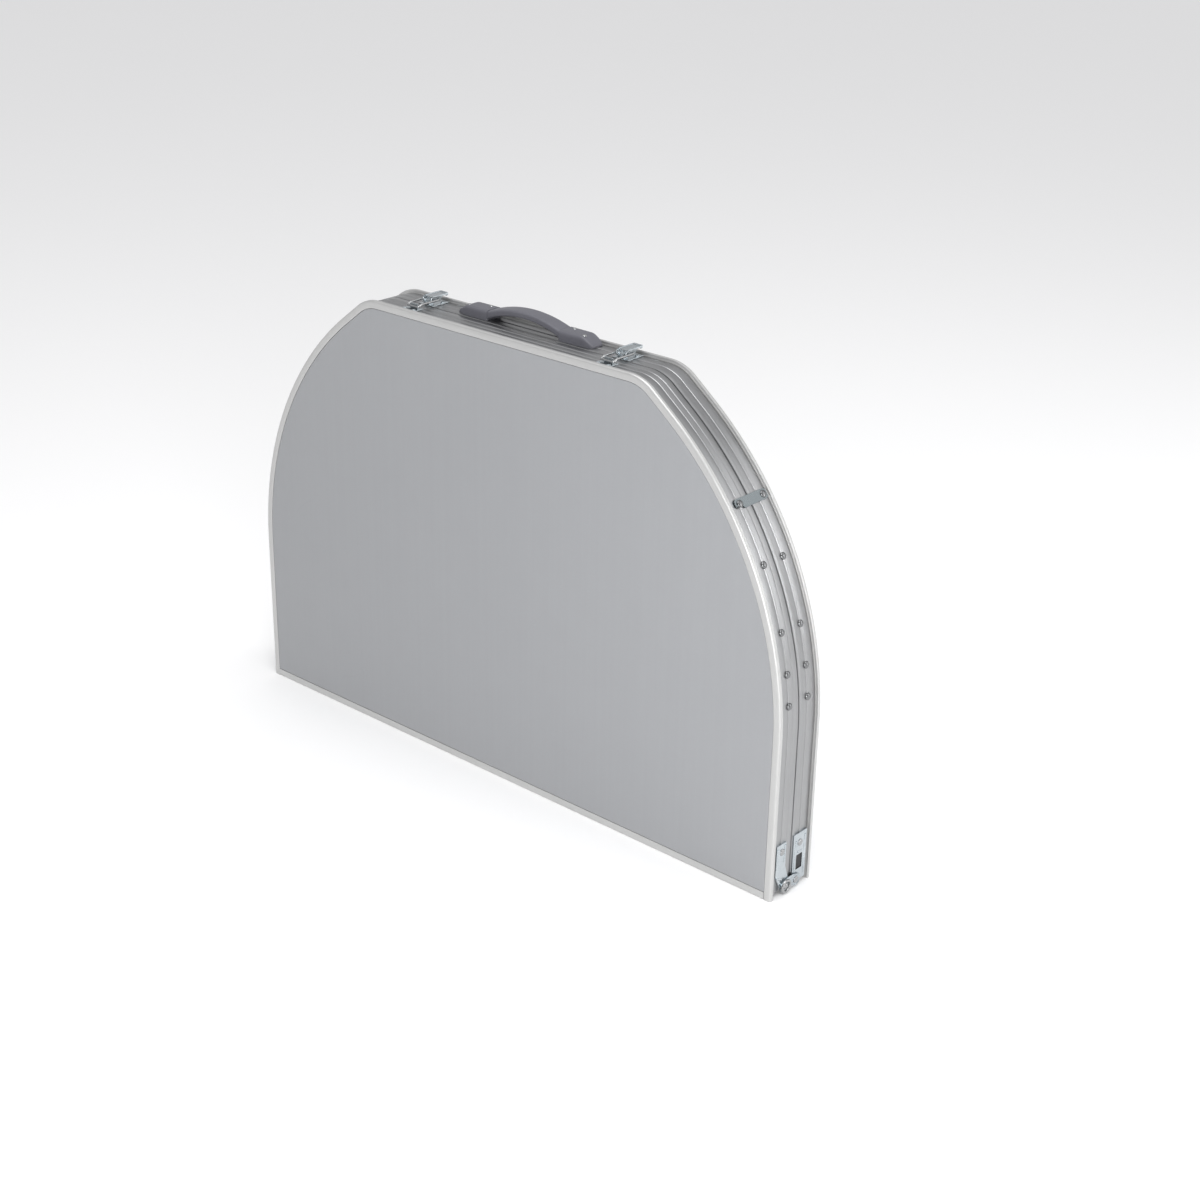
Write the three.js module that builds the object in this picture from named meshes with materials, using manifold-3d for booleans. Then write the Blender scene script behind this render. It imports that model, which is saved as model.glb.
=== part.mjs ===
// Folding table: two D-shaped halves hinged along their straight edge and closed like a suitcase,
// with folding telescopic legs inside, a carrying handle, toggle latches and swivel catches.
// Millimetres, +Z up. X runs along the fold, Y through the thickness. The closed table stands on its
// fold edge at Z = 0; the rear half (+Y) is the body that everything else hangs on.
import * as THREE from "three";
import { mergeVertices } from "three/addons/utils/BufferGeometryUtils.js";
import Module from "manifold-3d";

const wasm = await Module();
wasm.setup();

// Driving dimensions

const halfWidth = 450; // fold edge, centre to end
const halfThickness = 40; // one closed half, middle plane to table top
const straightSide = 213; // straight run of each side, up from the fold
const sideArc = { x: 0, z: straightSide, radius: 450 }; // the long curve of each side
const sideArcAngle = (52.4 * Math.PI) / 180;
const cornerArc = { x: 209.9, z: 543.6, radius: 60 }; // the tighter curve into the handle side
const topZ = cornerArc.z + cornerArc.radius;
const arcSteps = { side: 10, corner: 5 };
const roundSides = 8; // sides of rivets and rivet holes
const gap = 0.3; // clearance between pieces that touch

const band = { width: 10, yLow: 33.3, ledge: 19.5, ledgeTop: 35 };
const panel = { yLow: 35.3, yHigh: 39.6 };
const trim = { height: 10, ledgeHeight: 18 };
const rail = { inset: 4, wall: 2, flange: 22, yLow: 1, yHigh: 33, foot: 6 };
const foldRail = { yLow: 13, yHigh: 30.7, zLow: 8.3, zHigh: 26, wall: 2 };

const pivotY = 10.25; // the two fold pivots lie this far each side of the middle plane
const pivotZ = 10;
const eyeRadius = 8.5;
const leafX = { low: 446.3, high: 448.3 };
const rearLeaf = { yLow: 4, yHigh: 30, zLow: 6, zHigh: 72, rivetY: 17 };
const leafWindow = { yLow: 11, yHigh: 23, zLow: 22, zHigh: 42 };
const frontLeaf = { yLow: 11, yHigh: 30, zLow: 47, zHigh: 71, rivetY: 19 };
const eyePin = { shank: 3, hole: 3.3, head: 5 };
const linkX = { low: 448.6, high: 450.6 };

const rivet = { head: 4.4, headHeight: 1.5, shank: 2.2, hole: 2.6, y: 18 };
const leafRivetZ = { rear: 58, front: 60 };

const crossBars = [
  { name: "lower", zLow: 256, zHigh: 286, tabLow: 242, tabHigh: 301, rivets: [252, 291] },
  { name: "upper", zLow: 362, zHigh: 392, tabLow: 328, tabHigh: 427, rivets: [340, 415] },
];
const sideRivets = crossBars.flatMap((bar) => bar.rivets);
const crossBar = { yLow: 28.2, yHigh: 30.7, tabY: 11, tabThickness: 2, clearance: 0.8 };

const leg = { x: 300, y: 15, pivotZ: 45, radius: 11, bore: 9.6, rootZ: 36, endZ: 474, boreZ: 62 };
const legCrossRods = { z: [110, 440], radius: 7 };
const innerTube = { radius: 9.2, bore: 7.8, zLow: 155, zHigh: 496 };
const foot = { radius: 11.8, zLow: 480, zHigh: 505 };
const bracket = { xLow: 285.5, xHigh: 314.5, ear: 2.5, earY: 7, yLow: 31, yHigh: 33 };

const brace = { length: 185, xLow: 312.3, xHigh: 314.8, halfWidth: 7, pin: 3 };
const guide = { x: 317.3, wall: 2.5, flange: 16, yLow: 8, yHigh: 27.9, zLow: 175, zHigh: 430 };
const slot = { halfWidth: 3.4, zLow: 182, zHigh: 419 };

const railTop = topZ - rail.inset;
const handle = { end: 112, split: 60, yLow: 6, yHigh: 32, capHeight: 13, rise: 23, underside: 11 };
const latch = { x: 162, halfWidth: 8, baseHalfWidth: 12, pivotY: 5, pivotZ: railTop + 6.5, loopY: 15 };
const latchWire = { radius: 1.4, hookY: -21.5, hookZ: railTop + 4 };
const swivelCatch = { angle: (36.4 * Math.PI) / 180, pivotY: 24.5, studY: 19, halfWidth: 6.5, thickness: 2 };

// Materials

const paint = (color, metalness, roughness) =>
  new THREE.MeshStandardMaterial({ color, metalness, roughness });
const laminate = paint(0x9c9da4, 0, 0.5);
const satinBand = paint(0xc6c6c4, 0.6, 0.4);
const railMetal = paint(0xa2a3a3, 0.8, 0.42);
const tubeMetal = paint(0xb4b6b8, 0.85, 0.35);
const zincSteel = paint(0xb9c2c6, 0.9, 0.3);
const handlePlastic = paint(0x5e5e67, 0, 0.55);
const footRubber = paint(0x26262a, 0, 0.8);

// Solids and booleans

// The geometry with positions only and its shared vertices merged.
function weld(geometry) {
  const bare = geometry.clone();
  bare.deleteAttribute("normal");
  bare.deleteAttribute("uv");
  return mergeVertices(bare, 1e-4);
}

function toSolid(geometry) {
  const merged = weld(geometry);
  return new wasm.Manifold(
    new wasm.Mesh({
      numProp: 3,
      vertProperties: new Float32Array(merged.attributes.position.array),
      triVerts: new Uint32Array(merged.index.array),
    }),
  );
}

function toGeometry(solid) {
  const mesh = solid.getMesh();
  const geometry = new THREE.BufferGeometry();
  geometry.setAttribute("position", new THREE.BufferAttribute(mesh.vertProperties, 3));
  geometry.setIndex(new THREE.BufferAttribute(mesh.triVerts, 1));
  geometry.computeVertexNormals();
  return geometry;
}

const join = (...pieces) => toGeometry(pieces.map(toSolid).reduce((a, b) => a.add(b)));
const cut = (piece, ...tools) =>
  toGeometry(tools.map(toSolid).reduce((a, b) => a.subtract(b), toSolid(piece)));

// Shapes in the three main planes, and rods along the axes

const acrossY = new THREE.Matrix4().makeBasis(
  new THREE.Vector3(1, 0, 0),
  new THREE.Vector3(0, 0, 1),
  new THREE.Vector3(0, -1, 0),
);
const acrossX = new THREE.Matrix4().makeBasis(
  new THREE.Vector3(0, 1, 0),
  new THREE.Vector3(0, 0, 1),
  new THREE.Vector3(1, 0, 0),
);

const extrude = (shape, depth) =>
  new THREE.ExtrudeGeometry(shape, { depth, bevelEnabled: false, curveSegments: 8 });

// A shape drawn in (x, z), made solid from yLow to yHigh.
const plateXZ = (shape, yLow, yHigh) =>
  extrude(shape, yHigh - yLow).applyMatrix4(acrossY).translate(0, yHigh, 0);

// A shape drawn in (y, z), made solid from xLow to xHigh.
const plateYZ = (shape, xLow, xHigh) =>
  extrude(shape, xHigh - xLow).applyMatrix4(acrossX).translate(xLow, 0, 0);

// A shape drawn in (x, y), made solid from zLow to zHigh.
const plateXY = (shape, zLow, zHigh) => extrude(shape, zHigh - zLow).translate(0, 0, zLow);

function box(xLow, xHigh, yLow, yHigh, zLow, zHigh) {
  const size = new THREE.BoxGeometry(xHigh - xLow, yHigh - yLow, zHigh - zLow);
  return size.translate((xLow + xHigh) / 2, (yLow + yHigh) / 2, (zLow + zHigh) / 2);
}

const rodX = (radius, xLow, xHigh, y, z, sides = 16) =>
  new THREE.CylinderGeometry(radius, radius, xHigh - xLow, sides)
    .rotateZ(Math.PI / 2)
    .translate((xLow + xHigh) / 2, y, z);

const rodZ = (radius, x, y, zLow, zHigh, sides = 16) =>
  new THREE.CylinderGeometry(radius, radius, zHigh - zLow, sides)
    .rotateX(Math.PI / 2)
    .translate(x, y, (zLow + zHigh) / 2);

const polygon = (...points) => new THREE.Shape(points.map(([u, v]) => new THREE.Vector2(u, v)));

// The D-shaped outline

function arcPoints(arc, inset, from, to, steps) {
  const radius = arc.radius - inset;
  return Array.from({ length: steps + 1 }, (_, i) => {
    const angle = from + ((to - from) * i) / steps;
    return new THREE.Vector2(arc.x + radius * Math.cos(angle), arc.z + radius * Math.sin(angle));
  });
}

// One half's outline, set in by `inset` along its curve, from the fold at `low` round to the fold again.
function outline(inset, low) {
  const right = [
    new THREE.Vector2(halfWidth - inset, low),
    ...arcPoints(sideArc, inset, 0, sideArcAngle, arcSteps.side),
    ...arcPoints(cornerArc, inset, sideArcAngle, Math.PI / 2, arcSteps.corner),
  ];
  const left = right.map((p) => new THREE.Vector2(-p.x, p.y)).reverse();
  return [...right, ...left];
}

// A band that follows the outline between two insets, open at the fold.
const ring = (outer, inner, low) =>
  new THREE.Shape([...outline(outer, low), ...outline(inner, low).reverse()]);

// The side's surface at height z: its x, and the angle of its outward normal above +X.
function sideAt(inset, z) {
  const radius = sideArc.radius - inset;
  const angle = z > sideArc.z ? Math.asin((z - sideArc.z) / radius) : 0;
  return { x: sideArc.x + radius * Math.cos(angle), z, angle };
}

// A strip of the side wall's section between two insets and two heights.
function sideStrip(outer, inner, zLow, zHigh, steps = 8) {
  const heights = Array.from({ length: steps + 1 }, (_, i) => zLow + ((zHigh - zLow) * i) / steps);
  const outside = heights.map((z) => [sideAt(outer, z).x, z]);
  const inside = heights.map((z) => [sideAt(inner, z).x, z]);
  return polygon(...outside, ...inside.reverse());
}

// Rivets: a domed head that stands on the surface, with its shank going down through the wall.
function rivetAlongZ(length, head = rivet.head) {
  const profile = [
    [0, -length],
    [rivet.shank, -length],
    [rivet.shank, 0],
    [head, 0],
    [head * 0.8, rivet.headHeight * 0.75],
    [0, rivet.headHeight],
  ];
  const points = profile.map(([r, z]) => new THREE.Vector2(r, z));
  return new THREE.LatheGeometry(points, roundSides).rotateX(Math.PI / 2);
}

// Turns a piece made along +Z so that it stands on the side wall at height z, `lift` above it.
function ontoSide(geometry, z, y, lift) {
  const at = sideAt(rail.inset, z);
  return geometry
    .rotateY(Math.PI / 2 - at.angle)
    .translate(at.x + lift * Math.cos(at.angle), y, at.z + lift * Math.sin(at.angle));
}

const sideRivet = (z, length, lift) => ontoSide(rivetAlongZ(length), z, rivet.y, lift);
const sideHole = (z, y) =>
  ontoSide(rodZ(rivet.hole, 0, 0, -5, 3, roundSides), z, y, 0);

// Both halves: the table top

const panelShape = () => new THREE.Shape(outline(band.width + gap, trim.height + gap));
const makePanel = () => plateXZ(panelShape(), panel.yLow, panel.yHigh);

const makeEdgeBand = () =>
  join(
    plateXZ(ring(0, band.width, 0), band.yLow, halfThickness),
    plateXZ(ring(band.width - 1, band.ledge, trim.height + gap), band.yLow, band.ledgeTop),
  );

function makeFoldTrim() {
  const end = halfWidth - band.width - gap;
  const ledgeEnd = halfWidth - band.ledge - 1;
  return join(
    box(-end, end, band.yLow, halfThickness, 0, trim.height),
    box(-ledgeEnd, ledgeEnd, band.yLow, band.ledgeTop, trim.height - 1, trim.ledgeHeight),
  );
}

// Both halves: the frame

const topHole = (x, y) => rodZ(rivet.hole, x, y, railTop - 5, railTop + 3, roundSides);

// A channel section bent round the outline, open inwards. Its corners by the fold pivots are cut
// back so that they stay inside the circle that the pivots swing on.
function makeSideRail(holes) {
  const bar = plateXZ(ring(rail.inset, rail.flange, rail.foot), rail.yLow, rail.yHigh);
  const hollow = plateXZ(
    ring(rail.inset + rail.wall, rail.flange + 2, rail.foot - 2),
    rail.yLow + rail.wall,
    rail.yHigh - rail.wall,
  );
  const corner = pivotY + 0.15;
  const corners = plateYZ(polygon([-1, -1], [corner + 1, -1], [-1, corner + 1]), -460, 460);
  return cut(bar, hollow, corners, ...holes);
}

// The same piece on the left side, mirrored in X with its faces kept outwards.
function mirrorX(geometry) {
  const flipped = weld(geometry).scale(-1, 1, 1);
  const corners = flipped.index.array;
  for (let i = 0; i < corners.length; i += 3)
    [corners[i + 1], corners[i + 2]] = [corners[i + 2], corners[i + 1]];
  return flipped;
}

function makeFoldRail() {
  const end = halfWidth - rail.inset - rail.wall - gap;
  const { yLow, yHigh, zLow, zHigh, wall } = foldRail;
  return cut(
    box(-end, end, yLow, yHigh, zLow, zHigh),
    box(-end - 1, end + 1, yLow + wall, yHigh - wall, zLow + wall, zHigh + 1),
  );
}

// A flat bar across the half under the panel, with bent ends riveted through the side rails.
function makeCrossBar(bar) {
  const inside = rail.inset + rail.wall + crossBar.clearance;
  const tabInside = inside + crossBar.tabThickness;
  const heights = [bar.zLow, bar.zHigh];
  const right = heights.map((z) => [sideAt(inside + 1, z).x, z]);
  const left = heights.map((z) => [-sideAt(inside + 1, z).x, z]).reverse();
  const flat = plateXZ(polygon(...right, ...left), crossBar.yLow, crossBar.yHigh);
  const tab = plateXZ(sideStrip(inside, tabInside, bar.tabLow, bar.tabHigh), crossBar.tabY, crossBar.yHigh);
  const rivets = bar.rivets.map((z) => sideRivet(z, 5, gap));
  const ends = [tab, ...rivets];
  return join(flat, ...ends, ...ends.map(mirrorX));
}

// The fold hinge

const disc = (y, z, radius) => {
  const shape = new THREE.Shape();
  shape.absarc(y, z, radius, 0, 2 * Math.PI, false);
  return shape;
};

const leafRivet = (y, z) =>
  rivetAlongZ(6).rotateY(Math.PI / 2).translate(leafX.high, y, z);
const eyeHole = () => rodX(eyePin.hole, leafX.low - 1, leafX.high + 1, pivotY, pivotZ, 16);

// The leaf on the rear half: a plate with a window, and the eye on its corner.
function makeRearLeaf() {
  const { yLow, yHigh, zLow, zHigh, rivetY } = rearLeaf;
  const plate = box(leafX.low, leafX.high, yLow, yHigh, zLow, zHigh);
  const eye = plateYZ(disc(pivotY, pivotZ, eyeRadius), leafX.low, leafX.high);
  const hole = leafWindow;
  const window = box(leafX.low - 1, leafX.high + 1, hole.yLow, hole.yHigh, hole.zLow, hole.zHigh);
  return join(cut(join(plate, eye), window, eyeHole()), leafRivet(rivetY, leafRivetZ.rear));
}

// The leaf on the front half, drawn for +Y: a plate with a strap that slants down to the eye.
function makeFrontLeaf() {
  const { yLow, yHigh, zLow, zHigh, rivetY } = frontLeaf;
  const plate = box(leafX.low, leafX.high, yLow, yHigh, zLow, zHigh);
  const strapTop = [[yHigh, 30], [yHigh, zLow + 1], [yLow, zLow + 1], [yLow, 38]];
  const strap = plateYZ(polygon([17, 4.8], ...strapTop, [2.4, 13.5]), leafX.low, leafX.high);
  const eye = plateYZ(disc(pivotY, pivotZ, eyeRadius), leafX.low, leafX.high);
  return join(cut(join(plate, strap, eye), eyeHole()), leafRivet(rivetY, leafRivetZ.front));
}

// The link that joins both pivots, with a headed pin at each end.
function makeHingeLink() {
  const ends = [-pivotY, pivotY].map((y) => plateYZ(disc(y, pivotZ, 8), linkX.low, linkX.high));
  const bridge = plateYZ(
    polygon([-12, 4], [12, 4], [12, 17], [6, 19.5], [-6, 19.5], [-12, 17]),
    linkX.low,
    linkX.high,
  );
  const pins = [-pivotY, pivotY].flatMap((y) => [
    rodX(eyePin.shank, leafX.low, linkX.high, y, pivotZ),
    rivetAlongZ(1, eyePin.head).rotateY(Math.PI / 2).translate(linkX.high, y, pivotZ),
  ]);
  return join(bridge, ...ends, ...pins);
}

// The legs

// Two tubes joined by cross rods. Each tube's root turns on its bracket's pin, and it carries the
// stud that its brace turns on.
function makeLegFrame() {
  const studZ = leg.pivotZ + brace.length;
  const sides = [1, -1].flatMap((side) => {
    const stud = [rodX(2.8, 305, 316.8, leg.y, studZ, 12), rodX(5, 315.1, 316.8, leg.y, studZ, 12)];
    const pieces = side > 0 ? stud : stud.map(mirrorX);
    return [rodZ(leg.radius, side * leg.x, leg.y, leg.rootZ, leg.endZ), ...pieces];
  });
  const rods = legCrossRods.z.map((z) => rodX(legCrossRods.radius, -leg.x, leg.x, leg.y, z, 12));
  const bores = [1, -1].flatMap((side) => [
    rodZ(leg.bore, side * leg.x, leg.y, leg.boreZ, leg.endZ + 1),
    rodX(3.5, side * leg.x - 20, side * leg.x + 20, leg.y, leg.pivotZ, 12),
  ]);
  return cut(join(...sides, ...rods), ...bores);
}

const makeInnerTube = () =>
  cut(
    rodZ(innerTube.radius, leg.x, leg.y, innerTube.zLow, innerTube.zHigh),
    rodZ(innerTube.bore, leg.x, leg.y, innerTube.zLow - 1, innerTube.zHigh + 1),
  );

// A rubber cap over the end of the inner tube.
function makeFoot() {
  const { radius, zLow, zHigh } = foot;
  const pocket = [
    [0, innerTube.zHigh + gap],
    [innerTube.radius + 0.4, innerTube.zHigh + gap],
    [innerTube.radius + 0.4, zLow],
  ];
  const outside = [
    [radius, zLow],
    [radius, zHigh - 4],
    [radius - 3.5, zHigh],
    [0, zHigh],
  ];
  const points = [...pocket, ...outside].map(([r, z]) => new THREE.Vector2(r, z));
  return new THREE.LatheGeometry(points, 16).rotateX(Math.PI / 2).translate(leg.x, leg.y, 0);
}

// Two ears on a base plate that lies on the fold rail, with the pin that the leg turns on.
function makeLegBracket() {
  const { xLow, xHigh, ear, earY, yLow, yHigh } = bracket;
  const ears = [xLow, xHigh - ear].map((x) => box(x, x + ear, earY, yHigh, 33, 57));
  const base = box(xLow, xHigh, yLow, yHigh, 10, 66);
  return join(base, ...ears, rodX(3, xLow + 1, xHigh - 1, leg.y, leg.pivotZ, 12));
}

// The brace: a flat bar from the leg's stud to the pin that runs in the guide's slot.
function makeBrace() {
  const low = leg.pivotZ + brace.length;
  const high = low + brace.length;
  const bar = new THREE.Shape();
  bar.absarc(leg.y, low, brace.halfWidth, Math.PI, 2 * Math.PI, false);
  bar.absarc(leg.y, high, brace.halfWidth, 0, Math.PI, false);
  const headX = guide.x + guide.wall + gap;
  return join(
    cut(plateYZ(bar, brace.xLow, brace.xHigh), rodX(3.2, 310, 318, leg.y, low, 12)),
    rodX(brace.pin, brace.xLow + 1, headX + 1.8, leg.y, high, 12),
    rodX(5, headX, headX + 1.8, leg.y, high, 12),
  );
}

// An angle under the cross bars whose upright wall has the long slot for the brace's pin.
function makeGuide() {
  const { x, wall, flange, yLow, yHigh, zLow, zHigh } = guide;
  const opening = new THREE.Shape();
  opening.absarc(leg.y, slot.zLow + slot.halfWidth, slot.halfWidth, Math.PI, 2 * Math.PI, false);
  opening.absarc(leg.y, slot.zHigh - slot.halfWidth, slot.halfWidth, 0, Math.PI, false);
  const angle = join(
    box(x, x + wall, yLow, yHigh, zLow, zHigh),
    box(x, x + flange, yHigh - wall, yHigh, zLow, zHigh),
  );
  return cut(angle, plateYZ(opening, x - 1, x + wall + 1));
}

// The handle on the rear half

// An arched strap whose underside clears the rail for fingers.
function makeHandleGrip() {
  const { split, yLow, yHigh, capHeight, rise, underside } = handle;
  const end = split - gap;
  const shape = new THREE.Shape();
  shape.moveTo(-end, railTop + 1);
  shape.quadraticCurveTo(0, railTop + 2 * underside, end, railTop + 1);
  shape.lineTo(end, railTop + capHeight);
  shape.quadraticCurveTo(0, railTop + 2 * rise - capHeight, -end, railTop + capHeight);
  return plateXZ(shape, yLow + 1, yHigh - 1);
}

// A tapered end cap, screwed down to the rail through its base.
function makeHandleCap() {
  const { end, split, yLow, yHigh, capHeight } = handle;
  const side = polygon(
    [split, railTop + gap],
    [end, railTop + gap],
    [end, railTop + 3],
    [end - 12, railTop + 8],
    [split, railTop + capHeight],
  );
  const screws = [split + 12, end - 26].map((x) => rodZ(rivet.shank, x, 19, railTop - 3, railTop + 4, 12));
  return join(plateXZ(side, yLow, yHigh), ...screws);
}

// The toggle latches

// The base plate with two ears and the pin that the lever turns on.
function makeLatchBase() {
  const { x, pivotY: y, pivotZ: z, halfWidth: w, baseHalfWidth } = latch;
  const low = railTop + gap;
  const top = low + 1.3;
  const plate = box(x - baseHalfWidth, x + baseHalfWidth, y - 4, 31, low, top);
  const side = [[y - 3, low], [y + 5, low], [y + 3, z + 1], [y + 1.5, z + 2.6], [y - 1.5, z + 2.6], [y - 3, z + 0.5]];
  const ears = [-1, 1].map((sign) => {
    const at = x + sign * (w - 3.5);
    return plateYZ(polygon(...side), at - 0.8, at + 0.8);
  });
  const pin = rodX(1.5, x - w + 0.6, x + w - 0.6, y, z, roundSides);
  const rivets = [-w, w].map((dx) => rivetAlongZ(5, 3).translate(x + dx, 23, top));
  return join(plate, ...ears, pin, ...rivets);
}

// The lever: a plate with turned-down cheeks that turn on the base's pin and hold the wire loop.
function makeLatchLever() {
  const { x, pivotY: y, pivotZ: z, halfWidth: w, loopY } = latch;
  const top = z + 3.3;
  const plate = box(x - w, x + w, y + 1, 33, top, top + 1.4);
  const side = [[y - 3, z - 2.5], [loopY + 4, z - 2.5], [loopY + 8, top + 0.7], [y - 1, top + 0.7]];
  const cheeks = [-1, 1].map((sign) => {
    const at = x + sign * (w - 0.9);
    return plateYZ(polygon(...side), at - 0.9, at + 0.9);
  });
  const lip = box(x - w + 2, x + w - 2, 32, 35, top - 2, top + 1.4);
  const holes = [
    rodX(1.9, x - w - 1, x + w + 1, y, z, roundSides),
    rodX(latchWire.radius + 0.4, x - w - 1, x + w + 1, loopY, z, roundSides),
  ];
  return cut(join(plate, ...cheeks, lip), ...holes);
}

// The wire loop: it turns in the lever's cheeks, runs outside the ears and dips to the hook.
function makeLatchLoop() {
  const { x, pivotZ: z, halfWidth: w, loopY } = latch;
  const { radius, hookY, hookZ } = latchWire;
  const armX = w + 0.3 + radius;
  const bendY = hookY + 6;
  const wire = (from, to) => {
    const path = new THREE.LineCurve3(new THREE.Vector3(...from), new THREE.Vector3(...to));
    return extrudeAlong(path, radius);
  };
  const arms = [-1, 1].flatMap((side) => {
    const at = x + side * armX;
    return [
      rodX(radius, Math.min(at, x + side * (w - 1.5)), Math.max(at, x + side * (w - 1.5)), loopY, z, 8),
      wire([at, loopY + radius * 0.9, z], [at, bendY, z]),
      wire([at, bendY + 0.6, z + 0.3], [at, hookY - 0.4, hookZ - 0.3]),
    ];
  });
  const nose = rodX(radius, x - armX - radius * 0.8, x + armX + radius * 0.8, hookY, hookZ, 8);
  return join(...arms, nose);
}

function extrudeAlong(path, radius) {
  const section = new THREE.Shape();
  section.absarc(0, 0, radius, 0, 2 * Math.PI, false);
  return new THREE.ExtrudeGeometry(section, { steps: 1, curveSegments: 4, extrudePath: path });
}

// The hook on the front half that the loop pulls on.
function makeLatchStrike() {
  const { x } = latch;
  const { hookY, radius } = latchWire;
  const low = railTop + gap;
  const plate = box(x - latch.baseHalfWidth, x + latch.baseHalfWidth, -32, hookY + 7, low, low + 1.2);
  const back = hookY + radius + gap;
  const hook = box(x - 6.5, x + 6.5, back, back + 1.6, low, low + 7);
  const rivets = [-8, 8].map((dx) => rivetAlongZ(5, 3).translate(x + dx, -28, low + 1.2));
  return join(plate, hook, ...rivets);
}

// The swivel catches, drawn flat: X down the curve, Y across the rails, Z outwards from them

const catchPlateLow = 0.6;

// The plate turns on its own rivet in the rear rail; its notch opens down the curve.
function makeCatch() {
  const { pivotY: y, studY, halfWidth: w, thickness } = swivelCatch;
  const chamfer = w * 0.3;
  const lip = w * 0.4;
  const slot = 3;
  const edge = [
    [w, 7 - studY], [w, y + chamfer], [w - chamfer, y + w], [chamfer - w, y + w], [-w, y + chamfer],
    [-w, -studY - 4], [-w * 0.6, -studY - 7], [lip, -studY - 7], [lip, -studY - 4],
    [-slot, -studY - slot], [-slot, slot - studY], [lip, slot - studY],
  ];
  const plate = plateXY(polygon(...edge), catchPlateLow, catchPlateLow + thickness);
  return join(plate, rivetAlongZ(6).translate(0, y, catchPlateLow + thickness));
}

// The headed stud in the front rail that the plate hooks over, drawn for +Y.
function makeCatchStud() {
  const { studY, thickness } = swivelCatch;
  return rivetAlongZ(7, 4.2).translate(0, studY, catchPlateLow + thickness + 0.4);
}

// Assembly

const table = new THREE.Group();

function add(parent, name, geometry, material) {
  const mesh = new THREE.Mesh(geometry, material);
  mesh.name = name;
  parent.add(mesh);
}

// Holes in each half's side rail, for the rivets of everything fixed to it.
function railHoles(half) {
  const { x } = latch;
  const leafY = (half === "rear" ? rearLeaf : frontLeaf).rivetY;
  const onSides = [
    ...sideRivets.map((z) => sideHole(z, rivet.y)),
    sideHole(leafRivetZ[half], leafY),
    catchHole(half === "rear" ? swivelCatch.pivotY : swivelCatch.studY),
  ];
  const onTop = half === "rear"
    ? [topHole(x - latch.halfWidth, 23), topHole(x + latch.halfWidth, 23), topHole(handle.split + 12, 19), topHole(handle.end - 26, 19)]
    : [topHole(x - 8, 28), topHole(x + 8, 28)];
  return [...onSides, ...onTop].flatMap((tool) => [tool, mirrorX(tool)]);
}

const catchHole = (y) => ontoCurve(rodZ(rivet.hole, 0, y, -5, 3, roundSides));

// Turns a piece drawn flat so that it stands on the long curve where the catches are.
function ontoCurve(geometry) {
  const radius = sideArc.radius - rail.inset;
  const { angle } = swivelCatch;
  return geometry
    .rotateY(Math.PI / 2 - angle)
    .translate(sideArc.x + radius * Math.cos(angle), 0, sideArc.z + radius * Math.sin(angle));
}

for (const [half, sign] of [["rear", 1], ["front", -1]]) {
  const halfGroup = new THREE.Group();
  halfGroup.scale.y = sign;
  table.add(halfGroup);

  add(halfGroup, `${half}_panel`, makePanel(), laminate);
  add(halfGroup, `${half}_edge_band`, makeEdgeBand(), satinBand);
  add(halfGroup, `${half}_fold_trim`, makeFoldTrim(), satinBand);
  add(halfGroup, `${half}_side_rail`, makeSideRail(railHoles(half)), railMetal);
  add(halfGroup, `${half}_fold_rail`, makeFoldRail(), railMetal);
  crossBars.forEach((bar) => add(halfGroup, `${half}_${bar.name}_cross_bar`, makeCrossBar(bar), railMetal));
  add(halfGroup, `${half}_leg_frame`, makeLegFrame(), tubeMetal);

  for (const [side, direction] of [["right", 1], ["left", -1]]) {
    const sideGroup = new THREE.Group();
    sideGroup.scale.x = direction;
    halfGroup.add(sideGroup);

    const leaf = half === "rear" ? makeRearLeaf() : makeFrontLeaf();
    add(sideGroup, `${half}_${side}_hinge_leaf`, leaf, zincSteel);
    add(sideGroup, `${half}_${side}_leg_bracket`, makeLegBracket(), zincSteel);
    add(sideGroup, `${half}_${side}_brace_guide`, makeGuide(), zincSteel);
    add(sideGroup, `${half}_${side}_brace`, makeBrace(), zincSteel);
    add(sideGroup, `${half}_${side}_inner_leg`, makeInnerTube(), tubeMetal);
    add(sideGroup, `${half}_${side}_foot`, makeFoot(), footRubber);
    if (half === "front") add(sideGroup, `${side}_catch_stud`, ontoCurve(makeCatchStud()), zincSteel);
  }
}

add(table, "handle_grip", makeHandleGrip(), handlePlastic);
for (const [side, direction] of [["right", 1], ["left", -1]]) {
  const sideGroup = new THREE.Group();
  sideGroup.scale.x = direction;
  table.add(sideGroup);

  add(sideGroup, `${side}_hinge_link`, makeHingeLink(), zincSteel);
  add(sideGroup, `${side}_handle_cap`, makeHandleCap(), handlePlastic);
  add(sideGroup, `${side}_latch_base`, makeLatchBase(), zincSteel);
  add(sideGroup, `${side}_latch_lever`, makeLatchLever(), zincSteel);
  add(sideGroup, `${side}_latch_loop`, makeLatchLoop(), zincSteel);
  add(sideGroup, `${side}_latch_strike`, makeLatchStrike(), zincSteel);
  add(sideGroup, `${side}_catch_plate`, ontoCurve(makeCatch()), zincSteel);
}

export default table;
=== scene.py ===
import math
import bmesh
import bpy
import numpy as np
from mathutils import Matrix, Vector


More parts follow.
